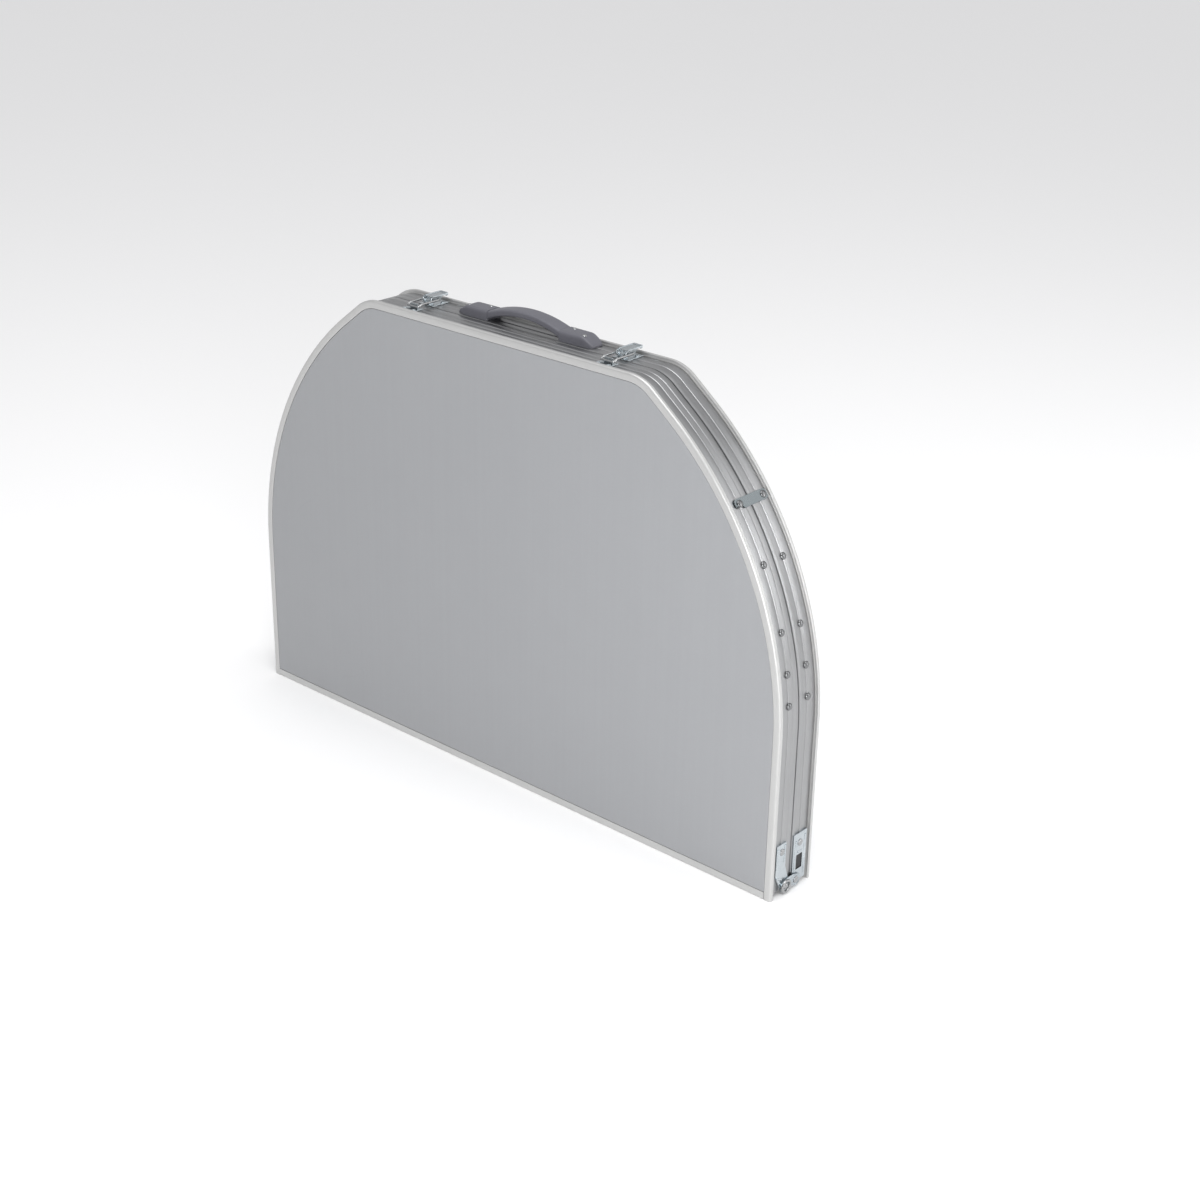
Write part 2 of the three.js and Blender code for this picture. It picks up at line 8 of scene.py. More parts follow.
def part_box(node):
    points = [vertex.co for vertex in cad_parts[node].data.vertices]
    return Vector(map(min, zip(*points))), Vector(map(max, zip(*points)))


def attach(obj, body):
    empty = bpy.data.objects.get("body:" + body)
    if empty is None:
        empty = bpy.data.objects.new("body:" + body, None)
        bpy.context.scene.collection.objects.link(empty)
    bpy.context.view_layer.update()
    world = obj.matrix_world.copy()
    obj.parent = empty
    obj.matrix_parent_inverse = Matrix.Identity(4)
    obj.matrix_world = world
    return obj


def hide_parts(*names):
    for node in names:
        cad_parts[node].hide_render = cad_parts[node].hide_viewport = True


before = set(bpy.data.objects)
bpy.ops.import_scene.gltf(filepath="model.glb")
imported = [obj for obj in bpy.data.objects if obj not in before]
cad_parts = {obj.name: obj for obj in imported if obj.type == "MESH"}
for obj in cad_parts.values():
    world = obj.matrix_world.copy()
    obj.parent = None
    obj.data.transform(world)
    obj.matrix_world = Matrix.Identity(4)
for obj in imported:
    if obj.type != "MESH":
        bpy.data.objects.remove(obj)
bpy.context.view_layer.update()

mm = 0.001
halves = {"rear": 1, "front": -1}   # which side of the middle plane each half lies on
sides = {"right": 1, "left": -1}


# camera, light and floor

camera = dict(azimuth=40.98, elevation=24.21, roll=1.03, lens=60.2, place=(1.6233, -1.7087, 1.3032))
lights = [
    dict(name="key", place=(1.9, -1.6, 0.9), aim=(0.35, 0, 0.3), size=(0.8, 1.2), power=28),
    dict(name="top", place=(0.4, -0.6, 3.2), aim=(0, 0, 0), size=(2.4, 2.4), power=42),
    dict(name="rim", place=(2.6, 1.4, 0.9), aim=(0.3, 0, 0.3), size=(0.35, 1.6), power=9),
    dict(name="side", place=(1.95, 1.75, 1.65), aim=(0.4, 0, 0.45), size=(1.5, 1.5), power=8),
]
studio = dict(low=0.94, middle=0.42, high=0.98, floorSize=60, floorColor=(0.96, 0.96, 0.96))


def placeCamera():
    # back points from the object to the camera; right and up are turned about it by the roll
    azimuth, elevation, roll = (math.radians(camera[k]) for k in ("azimuth", "elevation", "roll"))
    back = Vector((math.sin(azimuth) * math.cos(elevation),
                   -math.cos(azimuth) * math.cos(elevation), math.sin(elevation)))
    level = Vector((0, 0, 1)).cross(back).normalized()
    rise = back.cross(level)
    right = math.cos(roll) * level + math.sin(roll) * rise
    up = -math.sin(roll) * level + math.cos(roll) * rise
    data = bpy.data.cameras.new("camera")
    data.lens, data.sensor_width, data.clip_end = camera["lens"], 36, 100
    eye = bpy.data.objects.new("camera", data)
    eye.matrix_world = Matrix((right, up, back)).transposed().to_4x4()
    eye.location = camera["place"]
    bpy.context.scene.collection.objects.link(eye)
    bpy.context.scene.camera = eye


def placeLights():
    # each lamp stands at its place and its rear axis points away from what it lights
    for lamp in lights:
        data = bpy.data.lights.new(lamp["name"], "AREA")
        data.shape, data.size, data.size_y = "RECTANGLE", *lamp["size"]
        data.energy = lamp["power"]
        holder = bpy.data.objects.new(lamp["name"], data)
        holder.location = lamp["place"]
        aim = Vector(lamp["place"]) - Vector(lamp["aim"])
        holder.rotation_euler = aim.to_track_quat("Z", "Y").to_euler()
        bpy.context.scene.collection.objects.link(holder)
    makeSky()
    bpy.context.scene.view_settings.view_transform = "Standard"


def makeSky():
    # a white room with a greyer belt above the horizon: brightness follows the direction's height
    world = bpy.data.worlds.new("studio")
    world.use_nodes = True
    tree = world.node_tree
    direction = tree.nodes.new("ShaderNodeTexCoord")
    parts = tree.nodes.new("ShaderNodeSeparateXYZ")
    tree.links.new(direction.outputs["Generated"], parts.inputs[0])
    ramp = tree.nodes.new("ShaderNodeValToRGB")
    tree.links.new(parts.outputs["Z"], ramp.inputs[0])
    ramp.color_ramp.elements[0].position = 0.05
    ramp.color_ramp.elements[1].position = 0.95
    ramp.color_ramp.elements.new(0.4)
    for stop, level in zip(ramp.color_ramp.elements, (studio["low"], studio["middle"], studio["high"])):
        stop.color = (level, level, level * 1.01, 1)
    tree.links.new(ramp.outputs[0], tree.nodes["Background"].inputs["Color"])
    bpy.context.scene.world = world


# node groups and materials

def group(name, inputs, outputs):
    # a shader node group with named sockets; returns it with its input and output nodes
    tree = bpy.data.node_groups.new(name, "ShaderNodeTree")
    for label, kind, value in inputs:
        socket = tree.interface.new_socket(label, in_out="INPUT", socket_type=kind)
        if value is not None:
            socket.default_value = value
    for label in outputs:
        tree.interface.new_socket(label, in_out="OUTPUT", socket_type="NodeSocketFloat")
    return tree, tree.nodes.new("NodeGroupInput"), tree.nodes.new("NodeGroupOutput")


def put(tree, kind, links=None, **settings):
    # one node: settings that are its attributes are set, the rest are socket values; links join sockets
    node = tree.nodes.new(kind)
    for key, value in settings.items():
        setattr(node, key, value)
    for socket, value in (links or {}).items():
        target = node.inputs[socket]
        if isinstance(value, bpy.types.NodeSocket):
            tree.links.new(value, target)
        else:
            target.default_value = value
    return node


def math2(tree, operation, a, b=0.0):
    # one sum on two values or sockets
    return put(tree, "ShaderNodeMath", {0: a, 1: b}, operation=operation).outputs[0]


def drawnGrainGroup():
    # lines along the piece: noise whose first axis is squeezed and whose second is stretched
    tree, given, result = group("drawnGrain", [
        ("Vector", "NodeSocketVector", None), ("Along", "NodeSocketFloat", 6.0),
        ("Across", "NodeSocketFloat", 2600.0)], ["Lines", "Bands"])
    parts = put(tree, "ShaderNodeSeparateXYZ", {0: given.outputs["Vector"]})
    for label, slower, detail in (("Lines", 1.0, 3.0), ("Bands", 0.06, 2.0)):
        u = math2(tree, "MULTIPLY", parts.outputs[0], given.outputs["Along"])
        fine = math2(tree, "MULTIPLY", parts.outputs[1], given.outputs["Across"])
        v = math2(tree, "MULTIPLY", fine, slower)
        place = put(tree, "ShaderNodeCombineXYZ", {0: u, 1: v})
        noise = put(tree, "ShaderNodeTexNoise", {"Vector": place.outputs[0], "Scale": 1.0, "Detail": detail})
        tree.links.new(noise.outputs["Fac"], result.inputs[label])
    return tree


def cloudsGroup():
    # broad and fine noise added in the ratio 2 to 1, spread about 0.5 by Contrast
    tree, given, result = group("clouds", [
        ("Vector", "NodeSocketVector", None), ("Scale", "NodeSocketFloat", 12.0),
        ("Contrast", "NodeSocketFloat", 1.0)], ["Cloud"])
    broad = put(tree, "ShaderNodeTexNoise", {
        "Vector": given.outputs["Vector"], "Scale": given.outputs["Scale"], "Detail": 3.0})
    finer = math2(tree, "MULTIPLY", given.outputs["Scale"], 7.3)
    fine = put(tree, "ShaderNodeTexNoise", {"Vector": given.outputs["Vector"], "Scale": finer, "Detail": 4.0})
    mixed = math2(tree, "ADD", math2(tree, "MULTIPLY", broad.outputs["Fac"], 0.667),
                  math2(tree, "MULTIPLY", fine.outputs["Fac"], 0.333))
    spread = math2(tree, "MULTIPLY", math2(tree, "SUBTRACT", mixed, 0.5), given.outputs["Contrast"])
    tree.links.new(math2(tree, "ADD", spread, 0.5), result.inputs["Cloud"])
    return tree


def scratchesGroup():
    # thin lines where a stretched noise crosses 0.5, kept only where a broad noise is high
    tree, given, result = group("scratches", [
        ("Vector", "NodeSocketVector", None), ("Scale", "NodeSocketFloat", 30.0),
        ("Width", "NodeSocketFloat", 0.006)], ["Mask"])
    bent = put(tree, "ShaderNodeTexNoise", {
        "Vector": given.outputs["Vector"], "Scale": given.outputs["Scale"], "Detail": 1.0, "Distortion": 0.6})
    offset = math2(tree, "ABSOLUTE", math2(tree, "SUBTRACT", bent.outputs["Fac"], 0.5))
    line = math2(tree, "LESS_THAN", offset, given.outputs["Width"])
    patch = put(tree, "ShaderNodeTexNoise", {"Vector": given.outputs["Vector"], "Scale": 9.0, "Detail": 2.0})
    kept = put(tree, "ShaderNodeMapRange", {
        "Value": patch.outputs["Fac"], "From Min": 0.55, "From Max": 0.7})
    tree.links.new(math2(tree, "MULTIPLY", line, kept.outputs[0]), result.inputs["Mask"])
    return tree


drawnGrain, clouds, scratches = drawnGrainGroup(), cloudsGroup(), scratchesGroup()


def material(name, **sockets):
    # a Principled material with its constant sockets set, and its coordinate node
    made = bpy.data.materials.new(name)
    made.use_nodes = True
    tree = made.node_tree
    shader = tree.nodes["Principled BSDF"]
    for socket, value in sockets.items():
        shader.inputs[socket.replace("_", " ")].default_value = value
    return made, tree, shader, tree.nodes.new("ShaderNodeTexCoord")


def useGroup(tree, made, vector, **sockets):
    # places a node group, its coordinates joined and its own values set
    node = put(tree, "ShaderNodeGroup", node_tree=made)
    tree.links.new(vector, node.inputs["Vector"])
    for socket, value in sockets.items():
        node.inputs[socket].default_value = value
    return node


def spread(tree, value, low, high):
    # carries 0 to 1 onto low to high
    return put(tree, "ShaderNodeMapRange", {"Value": value, "To Min": low, "To Max": high}).outputs[0]


def blendColours(tree, factor, first, second):
    # first + (second - first) * factor
    node = put(tree, "ShaderNodeMix", data_type="RGBA")
    tree.links.new(factor, node.inputs[0])
    node.inputs[6].default_value = (*first, 1)
    node.inputs[7].default_value = (*second, 1)
    return node.outputs[2]


def bumpFrom(tree, shader, height, strength, distance):
    # tilts the surface by the slope of the height
    bump = put(tree, "ShaderNodeBump", {"Height": height, "Strength": strength, "Distance": distance})
    tree.links.new(bump.outputs[0], shader.inputs["Normal"])


def metal(name, dark, light, rough, grain, along=5.0, across=2600.0, cloudScale=14.0, metallic=1.0):
    # a drawn or plated metal: grain runs along the piece's own UV map, clouds change its gloss
    made, tree, shader, place = material(name, Metallic=metallic)
    lines = useGroup(tree, drawnGrain, place.outputs["UV"], Along=along, Across=across)
    cloud = useGroup(tree, clouds, place.outputs["Object"], Scale=cloudScale, Contrast=1.6)
    wear = useGroup(tree, scratches, place.outputs["Object"], Scale=26.0, Width=0.002)
    tone = math2(tree, "ADD", math2(tree, "MULTIPLY", lines.outputs["Bands"], 0.6),
                 math2(tree, "MULTIPLY", cloud.outputs["Cloud"], 0.4))
    tree.links.new(blendColours(tree, tone, dark, light), shader.inputs["Base Color"])
    gloss = math2(tree, "ADD", spread(tree, cloud.outputs["Cloud"], *rough),
                  math2(tree, "MULTIPLY", lines.outputs["Lines"], 0.06))
    tree.links.new(math2(tree, "ADD", gloss, math2(tree, "MULTIPLY", wear.outputs["Mask"], 0.05)),
                   shader.inputs["Roughness"])
    bumpFrom(tree, shader, lines.outputs["Lines"], grain, 0.00012)
    return made


def laminateMaterial():
    # satin grey melamine: a faint mottle, a fine pebble in the surface and a few rubbed marks
    made, tree, shader, place = material("laminateGrey", Coat_Weight=0.0, Specular_IOR_Level=0.45)
    cloud = useGroup(tree, clouds, place.outputs["Object"], Scale=3.0, Contrast=1.2)
    grain = useGroup(tree, clouds, place.outputs["Object"], Scale=420.0, Contrast=1.4)
    wear = useGroup(tree, scratches, place.outputs["Object"], Scale=7.0, Width=0.0016)
    parts = put(tree, "ShaderNodeSeparateXYZ", {0: place.outputs["Object"]})
    upright = put(tree, "ShaderNodeCombineXYZ", {0: parts.outputs["Z"], 1: parts.outputs["X"]})
    streaks = useGroup(tree, drawnGrain, upright.outputs[0], Along=1.2, Across=140.0)
    mottle = math2(tree, "ADD", math2(tree, "MULTIPLY", cloud.outputs["Cloud"], 0.45),
                   math2(tree, "MULTIPLY", grain.outputs["Cloud"], 0.25))
    tone = math2(tree, "ADD", mottle, math2(tree, "MULTIPLY", streaks.outputs["Lines"], 0.3))
    tree.links.new(blendColours(tree, tone, (0.274, 0.280, 0.292), (0.322, 0.328, 0.340)),
                   shader.inputs["Base Color"])
    gloss = math2(tree, "ADD", spread(tree, cloud.outputs["Cloud"], 0.36, 0.46),
                  math2(tree, "MULTIPLY", wear.outputs["Mask"], 0.12))
    tree.links.new(gloss, shader.inputs["Roughness"])
    bumpFrom(tree, shader, grain.outputs["Cloud"], 0.12, 0.0002)
    return made


def boardMaterial():
    # the fibreboard back of the panels: brown fibres of two lengths
    made, tree, shader, place = material("fibreboardBrown", Roughness=0.85)
    fibre = useGroup(tree, clouds, place.outputs["Object"], Scale=160.0, Contrast=2.2)
    broad = useGroup(tree, clouds, place.outputs["Object"], Scale=8.0, Contrast=1.4)
    tone = math2(tree, "ADD", math2(tree, "MULTIPLY", fibre.outputs["Cloud"], 0.6),
                 math2(tree, "MULTIPLY", broad.outputs["Cloud"], 0.4))
    tree.links.new(blendColours(tree, tone, (0.16, 0.095, 0.055), (0.30, 0.195, 0.12)),
                   shader.inputs["Base Color"])
    bumpFrom(tree, shader, fibre.outputs["Cloud"], 0.35, 0.0003)
    return made


def mouldedMaterial(name, dark, light, rough, pebble, scale):
    # moulded plastic or rubber: fine pebbled skin, with paler rubbed patches
    made, tree, shader, place = material(name, Specular_IOR_Level=0.5)
    skin = useGroup(tree, clouds, place.outputs["Object"], Scale=scale, Contrast=2.0)
    rubbed = useGroup(tree, clouds, place.outputs["Object"], Scale=22.0, Contrast=1.8)
    tree.links.new(blendColours(tree, rubbed.outputs["Cloud"], dark, light), shader.inputs["Base Color"])
    tree.links.new(spread(tree, rubbed.outputs["Cloud"], *rough), shader.inputs["Roughness"])
    bumpFrom(tree, shader, skin.outputs["Cloud"], pebble, 0.00025)
    return made


def floorMaterial():
    # pale paper with a very faint cloud
    made, tree, shader, place = material("floorPale", Roughness=0.8)
    cloud = useGroup(tree, clouds, place.outputs["Object"], Scale=1.0, Contrast=0.5)
    pale = studio["floorColor"]
    tree.links.new(blendColours(tree, cloud.outputs["Cloud"], pale, tuple(c * 0.985 for c in pale)),
                   shader.inputs["Base Color"])
    return made


laminate, board, floorPale = laminateMaterial(), boardMaterial(), floorMaterial()
railMetal = metal("railAluminium", (0.28, 0.282, 0.287), (0.415, 0.418, 0.424), (0.26, 0.38), 0.5)
bandMetal = metal("bandAluminium", (0.50, 0.50, 0.495), (0.59, 0.59, 0.585), (0.36, 0.46), 0.25,
                  metallic=0.75)
tubeMetal = metal("tubeAluminium", (0.50, 0.505, 0.51), (0.62, 0.625, 0.63), (0.24, 0.34), 0.25,
                  along=4.0)
zinc = metal("zincPlate", (0.25, 0.29, 0.315), (0.74, 0.78, 0.805), (0.10, 0.28), 0.12,
             along=60.0, across=60.0, cloudScale=55.0)
# painted shade: a darker copy of the zinc for the catches, standing for the darker sky that they reflect
shadedCatchZinc = metal("shadedCatchZinc", (0.13, 0.15, 0.16), (0.26, 0.285, 0.295), (0.16, 0.30), 0.12,
                  along=60.0, across=60.0, cloudScale=60.0)
# painted shade: a darker copy of the rivet steel, so that the domes read dark away from the lamp highlights
shadedDomeSteel = metal("shadedDomeSteel", (0.14, 0.143, 0.147), (0.28, 0.284, 0.288), (0.10, 0.18), 0.05,
                  along=60.0, across=60.0, cloudScale=90.0)
rivetSteel = metal("rivetSteel", (0.30, 0.305, 0.31), (0.46, 0.465, 0.47), (0.10, 0.20), 0.05,
                   along=60.0, across=60.0, cloudScale=90.0)
handlePlastic = mouldedMaterial("handlePlastic", (0.095, 0.095, 0.112), (0.125, 0.125, 0.145),
                                (0.42, 0.55), 0.25, 900.0)
footRubber = mouldedMaterial("footRubber", (0.018, 0.018, 0.02), (0.035, 0.035, 0.037),
                             (0.6, 0.8), 0.4, 500.0)
print("materials made")


# surfaces on a grid

def shell(grid, uv=None, caps=(), kind=0):
    # grid is rows x columns x 3 in millimetres; caps names the rows that are closed with one flat face
    if uv is None:
        along = np.cumsum(np.r_[0, np.linalg.norm(np.diff(grid.mean(1), axis=0), axis=1)])
        across = np.cumsum(np.r_[0, np.linalg.norm(np.diff(grid.mean(0), axis=0), axis=1)])
        uv = np.stack(np.meshgrid(along, across, indexing="ij"), -1)
    return dict(grid=grid, uv=uv, caps=caps, kind=kind)


def buildPiece(name, shells, materials, body, replaced=(), sharp=32):
    # puts every shell into one mesh, closes seams and poles, turns faces outwards and rides the body
    points, faces, kinds, offset = [], [], [], 0
    for part in shells:
        rows, columns = part["grid"].shape[:2]
        index = np.arange(rows * columns).reshape(rows, columns) + offset
        quads = np.stack([index[:-1, :-1], index[1:, :-1], index[1:, 1:], index[:-1, 1:]], -1).reshape(-1, 4)
        ends = [index[row, :-1].tolist() for row in part["caps"]]
        faces += quads.tolist() + ends
        kinds += [part["kind"]] * (len(quads) + len(ends))
        points.append(part["grid"].reshape(-1, 3))
        offset += rows * columns
    mesh = bpy.data.meshes.new(name)
    mesh.from_pydata((np.concatenate(points) * mm).tolist(), [], faces)
    uvs = np.concatenate([part["uv"].reshape(-1, 2) for part in shells]) * mm
    corners = np.zeros(len(mesh.loops), int)
    mesh.loops.foreach_get("vertex_index", corners)
    mesh.uv_layers.new(name="UVMap").uv.foreach_set("vector", uvs[corners].ravel())
    mesh.polygons.foreach_set("material_index", kinds)
    work = bmesh.new()
    work.from_mesh(mesh)
    bmesh.ops.remove_doubles(work, verts=work.verts, dist=2e-6)
    bmesh.ops.recalc_face_normals(work, faces=work.faces)
    work.to_mesh(mesh)
    work.free()
    mesh.shade_smooth()
    mesh.set_sharp_from_angle(angle=math.radians(sharp))
    for used in materials:
        mesh.materials.append(used)
    piece = bpy.data.objects.new(name, mesh)
    bpy.context.scene.collection.objects.link(piece)
    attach(piece, body)
    if replaced:
        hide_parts(*replaced)


def closed(points):
    # the first point again at the end
    return np.vstack([points, points[:1]])


def rounded(corners, steps=4):
    # an outline of (x, y, radius) corners with each corner cut by a curve that is tangent to both sides
    corners = np.array(corners, float)
    pieces = []
    for before, here, after in zip(np.roll(corners, 1, 0), corners, np.roll(corners, -1, 0)):
        if here[2] == 0:
            pieces.append(here[None, :2])
            continue
        toward = [(other[:2] - here[:2]) / np.linalg.norm(other[:2] - here[:2]) for other in (before, after)]
        t = np.linspace(0, 1, steps + 1)[:, None]
        start, stop = (here[:2] + way * here[2] for way in toward)
        pieces.append((1 - t) ** 2 * start + 2 * t * (1 - t) * here[:2] + t ** 2 * stop)
    return np.vstack(pieces)


def spin(profile, centre, axis, turns=32, kind=0):
    # turns (radius, height) about a line: centre + axis * height + radius * (cos a * side + sin a * other)
    axis = np.array(axis, float) / np.linalg.norm(axis)
    side = np.cross(axis, [0.3, 0.5, 0.81])
    side /= np.linalg.norm(side)
    other = np.cross(axis, side)
    angle = np.linspace(0, 2 * np.pi, turns + 1)
    radius, height = np.array(profile, float).T
    ring = np.cos(angle)[None, :, None] * side + np.sin(angle)[None, :, None] * other
    grid = np.array(centre, float) + height[:, None, None] * axis + radius[:, None, None] * ring
    uv = np.stack(np.broadcast_arrays(height[:, None], angle[None, :] * radius.max()), -1)
    return shell(grid, uv, kind=kind)


def alongPath(points, section, reference):
    # carries a section of (sideways, upwards) along a path; sideways is the path's direction x reference
    points = np.array(points, float)
    ahead = np.gradient(points, axis=0)
    ahead /= np.linalg.norm(ahead, axis=1)[:, None]
    sideways = np.cross(ahead, reference)
    sideways /= np.linalg.norm(sideways, axis=1)[:, None]
    upwards = np.cross(sideways, ahead)
    section = closed(np.array(section, float))
    across, rise = section[None, :, :1], section[None, :, 1:]
    grid = points[:, None] + across * sideways[:, None] + rise * upwards[:, None]
    along = np.cumsum(np.r_[0, np.linalg.norm(np.diff(points, axis=0), axis=1)])
    around = np.cumsum(np.r_[0, np.linalg.norm(np.diff(section, axis=0), axis=1)])
    uv = np.stack(np.meshgrid(along, around, indexing="ij"), -1)
    return shell(grid, uv, caps=(0, -1))


def circle(radius, count):
    # radius * (cos a, sin a)
    angle = np.linspace(0, 2 * np.pi, count, endpoint=False)
    return np.stack([np.cos(angle), np.sin(angle)], -1) * radius


def filleted(corners, radius, steps=8):
    # a path through 3-D corners whose inner corners are replaced by curves tangent to both sides
    corners = np.array(corners, float)
    pieces = [corners[:1]]
    t = np.linspace(0, 1, steps + 1)[:, None]
    for before, here, after in zip(corners[:-2], corners[1:-1], corners[2:]):
        start = here + (before - here) / np.linalg.norm(before - here) * radius
        stop = here + (after - here) / np.linalg.norm(after - here) * radius
        pieces.append((1 - t) ** 2 * start + 2 * t * (1 - t) * here + t ** 2 * stop)
    return np.vstack(pieces + [corners[-1:]])


# the D outline, which the rails, bands and panels share

outline = dict(halfWidth=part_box("rear_edge_band")[1].x / mm, straight=213,
               sideX=0, sideRadius=450, sideAngle=52.4,
               cornerX=209.9, cornerZ=543.6, cornerRadius=60, sideSteps=56, cornerSteps=18)


def outlineStations():
    # points (x, z) and outward normals from the right foot over the top to the left foot
    turn = np.radians(outline["sideAngle"])
    side = np.linspace(0, turn, outline["sideSteps"])
    corner = np.linspace(turn, np.pi / 2, outline["cornerSteps"])[1:]
    normals = np.vstack([[[1, 0]], np.stack([np.cos(side), np.sin(side)], -1),
                         np.stack([np.cos(corner), np.sin(corner)], -1)])
    sideMiddle = np.array([outline["sideX"], outline["straight"]])
    cornerMiddle = np.array([outline["cornerX"], outline["cornerZ"]])
    points = np.vstack([[[outline["halfWidth"], 0]],
                        sideMiddle + outline["sideRadius"] * normals[1:len(side) + 1],
                        cornerMiddle + outline["cornerRadius"] * normals[len(side) + 1:]])
    mirror = np.array([-1, 1])
    return np.vstack([points, points[::-1] * mirror]), np.vstack([normals, normals[::-1] * mirror])


stations, outward = outlineStations()


def aroundOutline(profile, foot, sign):
    # carries a closed profile of (inset, y) round the D; foot gives each profile point's height at the fold
    profile, foot = closed(np.array(profile, float)), np.append(foot, foot[0])
    flat = stations[:, None] - profile[None, :, :1] * outward[:, None]
    flat[[0, -1], :, 1] = foot
    grid = np.stack([flat[..., 0], np.broadcast_to(profile[:, 1] * sign, flat.shape[:2]), flat[..., 1]], -1)
    along = np.cumsum(np.r_[0, np.linalg.norm(np.diff(stations, axis=0), axis=1)])
    across = np.cumsum(np.r_[0, np.linalg.norm(np.diff(profile, axis=0), axis=1)])
    uv = np.stack(np.meshgrid(along, across, indexing="ij"), -1)
    return shell(grid, uv, caps=(0, -1))


def onSide(z, inset):
    # the side wall's (x, outward normal) at height z
    radius = outline["sideRadius"] - inset
    turn = math.asin(max(0, z - outline["straight"]) / radius)
    return outline["sideX"] + radius * math.cos(turn), (math.cos(turn), 0, math.sin(turn))


# the two case rims

rim = dict(inset=4, wall=2, flange=22, low={"rear": 2.2, "front": -0.2}, high=33, foot=6, cornerCut=10.4,
           ridge=18, ridgeHalf=0.8, ridgeHeight=0.55, lip=8.5, lipHeight=0.5)


def sideRail(half, sign):
    # a channel with a raised rivet line, and a lip beside the seam between the halves
    r, low = rim, rim["low"][half]
    out, ridgeOut, lipOut = r["inset"], r["inset"] - r["ridgeHeight"], r["inset"] - r["lipHeight"]
    inner = out + r["wall"]
    profile = [
        (r["flange"], low), (r["flange"], low + 2), (inner, low + 2), (inner, r["high"] - 2),
        (r["flange"], r["high"] - 2), (r["flange"], r["high"]), (out + 2.0, r["high"]),
        (out + 1.1, r["high"] - 0.3), (out + 0.2, r["high"] - 1.1), (out, r["high"] - 1.8),
        (out, r["ridge"] + r["ridgeHalf"] + 0.9), (out + 0.1, r["ridge"] + r["ridgeHalf"] + 0.5),
        (ridgeOut + 0.1, r["ridge"] + r["ridgeHalf"] - 0.2), (ridgeOut, r["ridge"] + 0.5),
        (ridgeOut, r["ridge"] - 0.5), (ridgeOut + 0.1, r["ridge"] - r["ridgeHalf"] + 0.2),
        (out + 0.1, r["ridge"] - r["ridgeHalf"] - 0.5), (out, r["ridge"] - r["ridgeHalf"] - 0.9),
        (out, r["lip"] + 0.8), (lipOut + 0.05, r["lip"] + 0.1), (lipOut, r["lip"] - 0.5),
        (lipOut, low + 1.0), (lipOut + 0.2, low + 0.35), (lipOut + 0.8, low)]
    foot = [max(r["foot"], r["cornerCut"] - y) for _, y in profile]
    buildPiece(half + "_rim_channel", [aroundOutline(profile, foot, sign)], [railMetal],
               half + "_half", [half + "_side_rail"])


band = dict(width=10, ledge=19.5, low=33.3, ledgeTop=35, groove=35.5, grooveDepth=0.35, top=40, round=3.0,
            lip=3.8, ledgeFoot=10.3, trim=10, trimLedge=18)


def edgeBand(half, sign):
    # a quarter circle outside over a thin groove, a flat face and the hidden ledge that the panel lies on
    b = band
    t = np.linspace(0, np.pi / 2, 9)
    bead = np.stack([b["round"] * (1 - np.cos(t)), b["top"] - b["round"] * (1 - np.sin(t))], -1)
    groove, deep = b["groove"], b["grooveDepth"]
    profile = np.vstack([
        [(b["lip"], b["low"]), (b["lip"], b["low"] + 1.1), (0.6, b["low"] + 1.1), (0, b["low"] + 1.5),
         (0, groove), (deep, groove + 0.2), (deep, groove + 0.5), (0, groove + 0.7)], bead,
        [(b["width"] - 0.9, b["top"]), (b["width"] - 0.3, b["top"] - 0.15), (b["width"], b["top"] - 0.6),
         (b["width"], b["ledgeTop"]), (b["width"] + 0.2, b["ledgeTop"]), (b["ledge"], b["ledgeTop"]),
         (b["ledge"], b["low"]), (b["width"] + 0.2, b["low"]), (b["width"], b["low"])]])
    foot = np.where(profile[:, 0] > b["width"] + 0.1, b["ledgeFoot"], 0.0)
    buildPiece(half + "_edge_bead", [aroundOutline(profile, foot, sign)], [bandMetal],
               half + "_half", [half + "_edge_band"])


def foldTrim(half, sign):
    # a rounded strip along the fold, with the ledge under the panel's straight edge
    b = band
    end = outline["halfWidth"] - b["width"] - 0.3
    high = b["top"] - 0.1
    section = rounded([(b["low"], 0, 0.5), (high, 0, 1.8), (high, b["trim"], 0.5),
                       (b["ledgeTop"], b["trim"], 0), (b["ledgeTop"], b["trimLedge"], 0),
                       (b["low"], b["trimLedge"], 0)])
    path = np.stack([np.linspace(-end, end, 5), np.zeros(5), np.zeros(5)], -1)
    section = section * [-sign, 1]
    buildPiece(half + "_fold_strip", [alongPath(path, section, (0, 0, 1))], [bandMetal],
               half + "_half", [half + "_fold_trim"])


panel = dict(inset=10.3, foot=10.3, low=35.3, edge=0.7)


def topPanel(half, sign):
    # the D outline at growing insets makes the rounded edge; flat faces close the front and the back
    high = max(abs(corner.y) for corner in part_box(half + "_panel")) / mm
    t = np.linspace(0, np.pi / 2, 5)
    edge = panel["edge"]
    insets = np.r_[panel["inset"], panel["inset"] + edge * (1 - np.cos(t))]
    depths = np.r_[panel["low"], high - edge * (1 - np.sin(t))]
    rings = stations[None] - insets[:, None, None] * outward[None]
    rings[:, [0, -1], 1] = (panel["foot"] + insets - panel["inset"])[:, None]
    depth = np.broadcast_to(depths[:, None] * sign, rings.shape[:2])
    grid = np.stack([rings[..., 0], depth, rings[..., 1]], -1)
    grid = np.concatenate([grid, grid[:, :1]], 1)
    face, back = shell(grid[1:], caps=(-1,)), shell(grid[:2], caps=(0,), kind=1)
    buildPiece(half + "_table_top", [face, back], [laminate, board],
               half + "_half", [half + "_panel"], sharp=25)


for half, sign in halves.items():
    sideRail(half, sign)
    edgeBand(half, sign)
    foldTrim(half, sign)
    topPanel(half, sign)
print("rims, bands and panels made")


# rivets

rivet = dict(radius=4.5, height=2.7, seat=3.5, y=18, sideZ=(252, 291, 340, 415))


